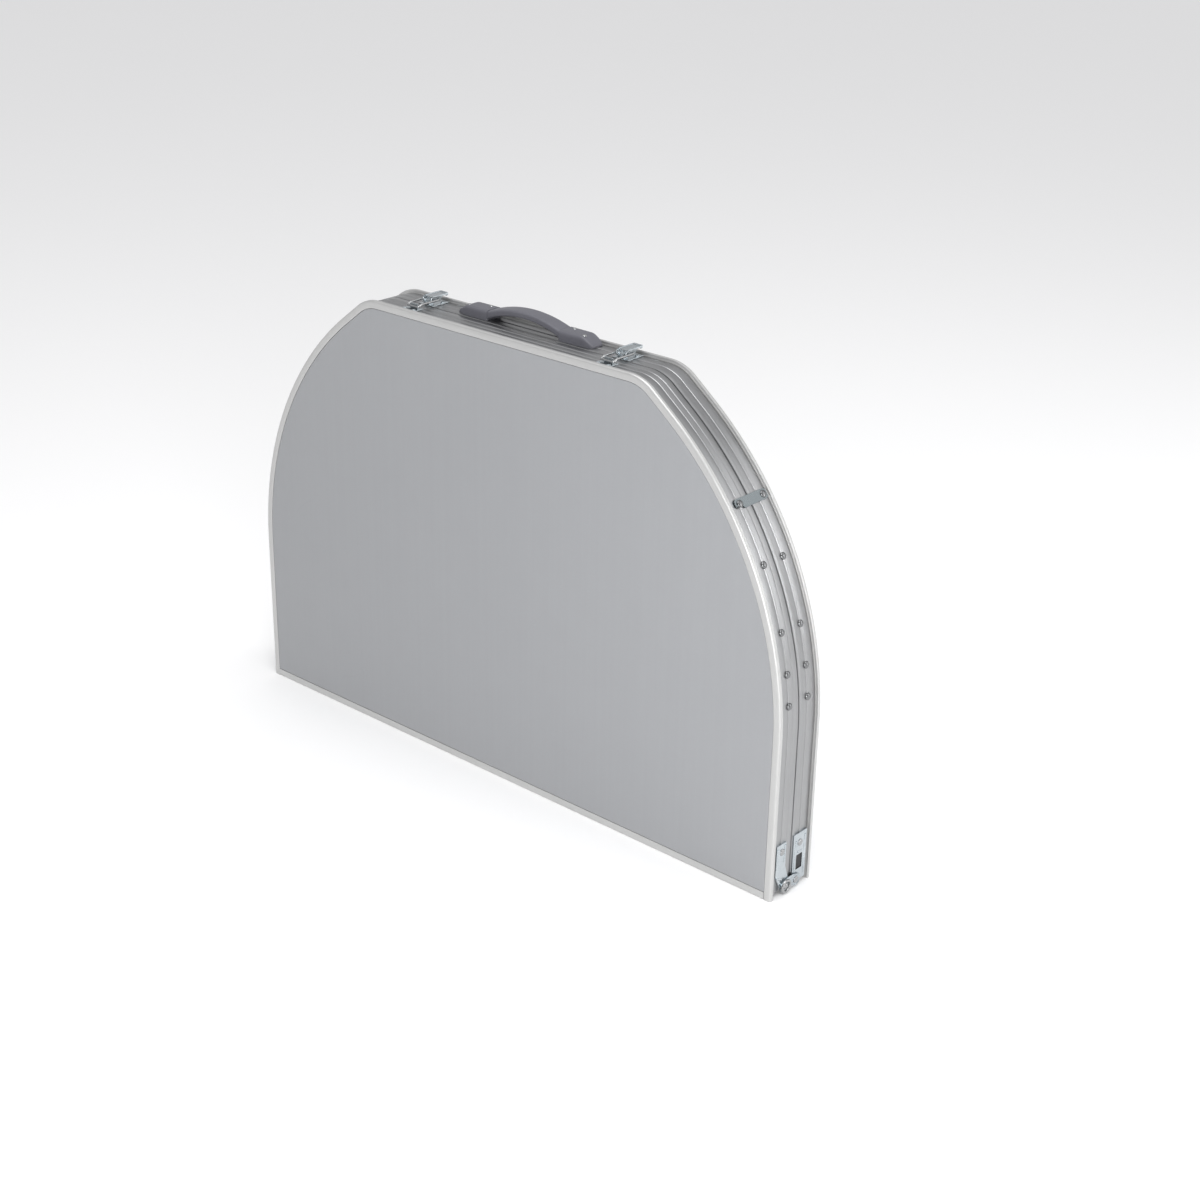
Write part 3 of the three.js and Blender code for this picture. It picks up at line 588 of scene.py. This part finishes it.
def dome(centre, axis, radius=rivet["radius"], height=rivet["height"], kind=0):
    # a quarter ellipse turned about the axis, on a short straight rim
    t = np.linspace(0, np.pi / 2, 9)
    profile = np.vstack([[(0, -0.3), (radius, -0.3)],
                         np.stack([radius * np.cos(t), 0.35 + (height - 0.35) * np.sin(t)], -1)])
    return spin(profile, centre, axis, 28, kind)


def rimRivets(half, sign):
    # the cross bars' rivets, which stand on the raised line of both sides
    heads = []
    for z in rivet["sideZ"]:
        x, normal = onSide(z, rivet["seat"])
        for side in sides.values():
            heads.append(dome((x * side, rivet["y"] * sign, z), (normal[0] * side, 0, normal[2])))
    # the rivet heads use the darker steel copy, which is painted shade
    buildPiece(half + "_rim_rivets", heads, [shadedDomeSteel], half + "_half")


for half, sign in halves.items():
    rimRivets(half, sign)
print("rivets made")


# the carrying handle

railTop = (outline["cornerZ"] + outline["cornerRadius"]) - rim["inset"]
grip = dict(split=59.7, width=24, middleY=19, low=1.0, lowRise=12.6, high=12.4, highRise=10.2)
cap = dict(split=60, end=112, width=26, base=railTop + 0.3, height=12.8, endHeight=3.0, slopeFrom=0.66,
           screws=((70, 25), (96, 13)), screwRadius=2.9, screwHeight=1.5)


def superellipse(count, power):
    # points round |x| ^ power + |y| ^ power = 1
    angle = np.linspace(0, 2 * np.pi, count, endpoint=False)
    c, s = np.cos(angle), np.sin(angle)
    return np.stack([np.sign(c) * np.abs(c) ** (2 / power), np.sign(s) * np.abs(s) ** (2 / power)], -1)


def handleGrip():
    # a superellipse section between two arches of 1 - (x / split)^2; the lower one is a little blunter
    x = np.linspace(-grip["split"], grip["split"], 73)
    arch = 1 - (x / grip["split"]) ** 2
    under = railTop + grip["low"] + grip["lowRise"] * arch ** 0.85
    over = railTop + grip["high"] + grip["highRise"] * arch
    width = grip["width"] / 2 * (1 - 0.06 * arch)
    section = closed(superellipse(64, 4.6))
    crease = 1 - 0.035 * np.exp(-((section[:, 1] + 0.15) / 0.12) ** 2)
    y = grip["middleY"] + width[:, None] * section[None, :, 0] * crease
    z = (over + under)[:, None] / 2 + (over - under)[:, None] / 2 * section[None, :, 1]
    grid = np.stack([np.broadcast_to(x[:, None], y.shape), y, z], -1)
    buildPiece("handle_arch", [shell(grid, caps=(0, -1))], [handlePlastic], "rear_half",
               ["handle_grip"], sharp=50)


def handleCap(side, direction):
    # level top, then an eased slope to the nose: height = nose + (full - nose) * fall, fall from 1 to 0
    t = np.r_[0, 0.006, np.linspace(0.02, 0.94, 30), 0.97, 0.985, 0.995, 1]
    x = cap["split"] + (cap["end"] - cap["split"]) * t
    fall = np.clip((1 - t) / (1 - cap["slopeFrom"]), 0, 1)
    fall = 1 - (1 - fall) ** 1.35
    height = cap["endHeight"] + (cap["height"] - cap["endHeight"]) * fall
    height[-4:] *= (0.97, 0.9, 0.75, 0.45)
    width = cap["width"] / 2 * (1 - 0.16 * t ** 3 - 0.2 * t ** 16)
    height[0] -= 0.6
    width[0] -= 0.6
    section = superellipse(72, 7.0)
    section = closed(np.stack([section[:, 0], np.maximum(section[:, 1], 0)], -1))
    y = grip["middleY"] + width[:, None] * section[None, :, 0]
    z = cap["base"] + height[:, None] * section[None, :, 1]
    grid = np.stack([np.broadcast_to(direction * x[:, None], y.shape), y, z], -1)
    screws = []
    for along, across in cap["screws"]:
        top = cap["base"] + np.interp(along, x, height)
        screws.append(dome((direction * along, across, top - 0.4), (direction * 0.15, 0, 1),
                           cap["screwRadius"], cap["screwHeight"], kind=1))
    buildPiece(side + "_handle_end", [shell(grid, caps=(0, -1))] + screws, [handlePlastic, rivetSteel],
               "rear_half", [side + "_handle_cap"], sharp=40)


handleGrip()
for side, direction in sides.items():
    handleCap(side, direction)
print("handle made")


# legs

leg = dict(x=300, y=15, radius=11, bore=9.6, root=36, end=474, pivot=45, rodRadius=7, rods=(110, 440))
inner = dict(radius=9.2, bore=7.8, low=155, high=496)
foot = dict(radius=11.8, low=480, high=505, pocket=9.6, groove=0.7, ringStep=2.2)
bracePin = dict(z=230, start=305, shank=2.8, face=315.1, head=5, top=316.8)


def tubeProfile(radius, bore, low, high, edge=0.5):
    # a closed tube wall as (radius, height): outside, rounded lip, bore, rounded lip
    return [(bore, low + edge), (bore + edge, low), (radius - edge, low), (radius, low + edge),
            (radius, high - edge), (radius - edge, high), (bore + edge, high), (bore, high - edge),
            (bore, low + edge)]


def legFrame(half, sign):
    # two tubes turned about z, the rods between them about x, and the pins that the braces turn on
    pin = bracePin
    stud = [(0, pin["start"]), (pin["shank"], pin["start"]), (pin["shank"], pin["face"]),
            (pin["head"], pin["face"]), (pin["head"], pin["top"] - 0.6),
            (pin["head"] - 0.5, pin["top"] - 0.1), (0, pin["top"])]
    tubes = []
    for side in sides.values():
        profile = tubeProfile(leg["radius"], leg["bore"], leg["root"], leg["end"])
        tubes.append(spin(profile, (leg["x"] * side, leg["y"] * sign, 0), (0, 0, 1), 40))
        tubes.append(spin(stud, (0, leg["y"] * sign, pin["z"]), (side, 0, 0), 24, kind=1))
    reach = leg["x"] - leg["bore"]
    for z in leg["rods"]:
        profile = [(0, -reach), (leg["rodRadius"], -reach), (leg["rodRadius"], reach), (0, reach)]
        tubes.append(spin(profile, (0, leg["y"] * sign, z), (1, 0, 0), 32))
    buildPiece(half + "_leg_tubes", tubes, [tubeMetal, zinc], half + "_legs",
               [half + "_leg_frame"])


def legEnd(half, sign, side, direction):
    # the telescopic tube, and its rubber foot with three grip rings
    place = (leg["x"] * direction, leg["y"] * sign, 0)
    body = half + "_" + side + "_extension"
    wall = tubeProfile(inner["radius"], inner["bore"], inner["low"], inner["high"])
    tube = spin(wall, place, (0, 0, 1), 36)
    buildPiece(half + "_" + side + "_inner_tube", [tube], [tubeMetal], body,
               [half + "_" + side + "_inner_leg"])
    r, low, high = foot["radius"], foot["low"], foot["high"]
    rings = [(r - (foot["groove"] if k % 2 else 0), low + 4 + foot["ringStep"] * k) for k in range(6)]
    pocket = [(0, inner["high"] + 0.3), (foot["pocket"], inner["high"] + 0.3), (foot["pocket"], low)]
    sole = [(r, high - 5), (r - 0.8, high - 2.5), (r - 3, high - 0.6), (r - 4.5, high), (0, high)]
    profile = pocket + [(r - 1, low), (r, low + 1)] + rings + sole
    buildPiece(half + "_" + side + "_rubber_foot", [spin(profile, place, (0, 0, 1), 40)], [footRubber], body,
               [half + "_" + side + "_foot"])


for half, sign in halves.items():
    legFrame(half, sign)
    for side, direction in sides.items():
        legEnd(half, sign, side, direction)
print("legs made")


# the fold hinge

hinge = dict(pivotY=10.25, pivotZ=10, leafFace=448.3, plate=(448.6, 450.6), eye=8.4, pin=3, pinFrom=446.4,
             rivets={"rear": (17, 58), "front": (19, 60)}, toCentre=99)
leafRibs = {"rear": [[(8, 20), (8, 44), (9.5, 62)], [(26.5, 12), (26.5, 66)], [(13, 46), (21, 46)]],
            "front": [[(28, 27), (17.5, 21)], [(28, 67), (28, 38)], [(13, 68), (13, 44)]]}
# outline and levels of the near-black plate that paints the shade inside the rear leaf's window
windowShadePlate = dict(low=(11.3, 22.3), high=(22.7, 41.7), corner=0.6, back=446.5, face=447.1)


def pressedPlate(edge, centre, levels, direction, kind=0):
    # rings of the outline at rising insets and levels, from the back's centre round to the front's centre
    edge = closed(np.array(edge, float))
    centre = np.array(centre, float)
    reach = np.linalg.norm(edge - centre, axis=1)[:, None]
    flat = np.stack([centre + (edge - centre) * np.clip(1 - inset / reach, 0, 1) for inset, _ in levels])
    out = np.broadcast_to(np.array([level for _, level in levels])[:, None] * direction, flat.shape[:2])
    return shell(np.concatenate([out[..., None], flat], -1), kind=kind)


def hingeLink(side, direction):
    # an elbow over the lower corner: two round ends joined by a bulging back, a ring round the front pin
    y, z, r = hinge["pivotY"], hinge["pivotZ"], hinge["eye"]
    low, high = hinge["plate"]
    edge = rounded([(-y - r, z - 7, 5), (-y - r, z + 4, 4), (-y - 2, z + r, 5), (-5, z + 9.6, 3),
                    (7, z + 9.4, 5), (y + r, z + 6, 6), (y + r, z - 6, 6), (y, z - r, 3), (1, z - 4.4, 4),
                    (-4, z - 6.5, 3), (-y, z - r, 4)], 6)
    far, sunk = hinge["toCentre"], high - 0.45
    levels = [(far, low), (0.4, low), (0, low + 0.4), (0, high - 0.5), (0.5, high), (1.4, high), (2.0, sunk),
              (far, sunk)]
    pieces = [pressedPlate(edge, (0, z + 1.5), levels, direction)]
    ring = [(5.6, -0.5), (9.3, -0.5), (9.3, 0.6), (8.7, 1.7), (7.5, 2.1), (6.2, 1.7), (5.6, 0.6), (5.6, -0.5)]
    axis = (direction, 0, 0)
    pieces.append(spin(ring, (high * direction, -y, z), axis, 36, kind=1))
    pieces.append(dome(((high - 0.4) * direction, -y, z), axis, 4.0, 1.85, kind=1))
    pieces.append(dome(((high - 0.4) * direction, y, z), axis, 4.4, 1.5, kind=1))
    start, stop = hinge["pinFrom"], low + 0.4
    shank = [(0, start), (hinge["pin"], start), (hinge["pin"], stop), (0, stop)]
    for pinY in (-y, y):
        pieces.append(spin(shank, (0, pinY, z), axis, 24, kind=1))
    buildPiece(side + "_hinge_elbow", pieces, [zinc, rivetSteel], "hinge_links",
               [side + "_hinge_link"])


def leafDetails(half, sign, side, direction):
    # half-sunk rods as the leaf's pressed ribs, its rivet head, and a near-black plate behind the rear leaf's
    # window: painted shade in the window
    face = hinge["leafFace"] * direction
    y, z = hinge["rivets"][half]
    pieces = [dome((face, y * sign, z), (direction, 0, 0), 4.4, 1.7, kind=1)]
    for rib in leafRibs[half]:
        path = np.array([(face - 0.35 * direction, across * sign, up) for across, up in rib])
        runs = [np.linspace(start, stop, 6)[:-1] for start, stop in zip(path[:-1], path[1:])]
        pieces.append(alongPath(np.vstack(runs + [path[-1:]]), circle(1.25, 14), (direction, 0, 0)))
    # painted shade: a near-black rubber plate set behind the window where there would only be shadow
    if half == "rear":
        (y0, z0), (y1, z1), far = windowShadePlate["low"], windowShadePlate["high"], hinge["toCentre"]
        edge = rounded([(across, up, windowShadePlate["corner"]) for across, up in
                        ((y0, z0), (y1, z0), (y1, z1), (y0, z1))], 3)
        back, front = windowShadePlate["back"], windowShadePlate["face"]
        levels = [(far, back), (0, back), (0, front - 0.3), (0.3, front), (far, front)]
        pieces.append(pressedPlate(edge, ((y0 + y1) / 2, (z0 + z1) / 2), levels, direction, kind=2))
    buildPiece(half + "_" + side + "_leaf_ribs", pieces, [zinc, rivetSteel, footRubber],
               half + "_half")


for side, direction in sides.items():
    hingeLink(side, direction)
    for half, sign in halves.items():
        leafDetails(half, sign, side, direction)
print("hinges made")


# latches and swivel catches

latch = dict(x=162, width=8, pivotZ=railTop + 6.5, loopY=15, wire=1.4, noseY=-21.5, noseZ=railTop + 4,
             leverTop=railTop + 11, leverY=(7, 33), rim=1.0, curl=1.5)


def latchLoop(side, direction):
    # one round wire: from the lever's cheek, out and forwards, down to the hook, across and back
    reach = latch["width"] + 0.3 + latch["wire"]
    inside = latch["width"] - 1.4
    y, z = latch["loopY"], latch["pivotZ"]
    half = [(inside, y, z), (reach, y, z), (reach, latch["noseY"] + 6, z),
            (reach, latch["noseY"], latch["noseZ"])]
    route = np.array(half + [(-a, b, c) for a, b, c in half[::-1]])
    path = filleted(route, 1.35)
    path[:, 0] += latch["x"] * direction
    ahead = np.gradient(path, axis=0)
    ahead /= np.linalg.norm(ahead, axis=1)[:, None]
    up = np.array([0.05, 0.1, 1.0])
    sideways = np.cross(ahead, up)
    sideways /= np.linalg.norm(sideways, axis=1)[:, None]
    over = np.cross(sideways, ahead)
    ring = closed(circle(latch["wire"], 16))
    grid = path[:, None] + ring[None, :, :1] * sideways[:, None] + ring[None, :, 1:] * over[:, None]
    buildPiece(side + "_latch_wire", [shell(grid, caps=(0, -1))], [rivetSteel], side + "_loop",
               [side + "_latch_loop"])


def leverRims(side, direction):
    # a rolled rim along both long edges of the lever and a curled thumb end
    x, top, tip = latch["x"] * direction, latch["leverTop"], latch["leverY"][1]
    pieces = []
    for edge in (-1, 1):
        edgeX = x + edge * (latch["width"] - latch["rim"])
        path = [(edgeX, y, top) for y in np.linspace(*latch["leverY"], 8)]
        pieces.append(alongPath(path, circle(latch["rim"], 14), (0, 0, 1)))
    curl = [(x + across, tip + 0.4, top - 0.1) for across in np.linspace(-6, 6, 6)]
    pieces.append(alongPath(curl, circle(latch["curl"], 14), (0, 0, 1)))
    buildPiece(side + "_lever_rims", pieces, [zinc], side + "_lever")


swivel = dict(angle=36.4, pivotY=24.5, studY=-19, lift=2.6)


def catchHeads(side, direction):
    # bright domes on the pivot and on the stud, where the curve's normal points out
    turn = math.radians(swivel["angle"])
    normal = np.array([direction * math.cos(turn), 0, math.sin(turn)])
    radius = outline["sideRadius"] - rim["inset"]
    base = np.array([direction * (outline["sideX"] + radius * math.cos(turn)), 0,
                     outline["straight"] + radius * math.sin(turn)])
    pivot = base + normal * swivel["lift"] + (0, swivel["pivotY"], 0)
    stud = base + normal * (swivel["lift"] + 0.4) + (0, swivel["studY"], 0)
    # both domes use the darker steel copy, which is painted shade; the lamps give their highlights
    buildPiece(side + "_catch_rivet", [dome(pivot, normal, 4.7, 2.1)], [shadedDomeSteel], side + "_catch")
    buildPiece(side + "_catch_head", [dome(stud, normal, 4.5, 2.0)], [shadedDomeSteel], "front_half")


for side, direction in sides.items():
    latchLoop(side, direction)
    leverRims(side, direction)
    catchHeads(side, direction)
print("latches and catches made")


# CAD pieces that keep their shape: softened edges and their finish

soften = dict(width=0.3, segments=2, merge=1e-5, angle=34)


def softened(node, finish):
    # merges the loose triangles, rounds the sharp edges and gives the finish
    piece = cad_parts[node]
    weld = piece.modifiers.new("weld", "WELD")
    weld.merge_threshold = soften["merge"]
    bevel = piece.modifiers.new("bevel", "BEVEL")
    bevel.width, bevel.segments = soften["width"] * mm, soften["segments"]
    bevel.limit_method, bevel.angle_limit = "ANGLE", math.radians(soften["angle"])
    piece.data.materials.clear()
    piece.data.materials.append(finish)


for half in halves:
    for node in ("fold_rail", "lower_cross_bar", "upper_cross_bar"):
        softened(half + "_" + node, railMetal)
    for side in sides:
        for node in ("hinge_leaf", "leg_bracket", "brace_guide", "brace"):
            softened(half + "_" + side + "_" + node, zinc)
for side in sides:
    for node in ("latch_base", "latch_lever", "latch_strike"):
        softened(side + "_" + node, zinc)
    # the catch plate and stud take the darker zinc copy, which is painted shade
    for node in ("catch_plate", "catch_stud"):
        softened(side + "_" + node, shadedCatchZinc)
print("CAD pieces finished")


# floor

def floorPlane():
    # one square about the origin
    half = studio["floorSize"] / 2
    corners = [(-half, -half, 0), (half, -half, 0), (half, half, 0), (-half, half, 0)]
    mesh = bpy.data.meshes.new("floor")
    mesh.from_pydata(corners, [], [(0, 1, 2, 3)])
    mesh.materials.append(floorPale)
    ground = bpy.data.objects.new("floor", mesh)
    bpy.context.scene.collection.objects.link(ground)


placeCamera()
placeLights()
floorPlane()
print("studio made")
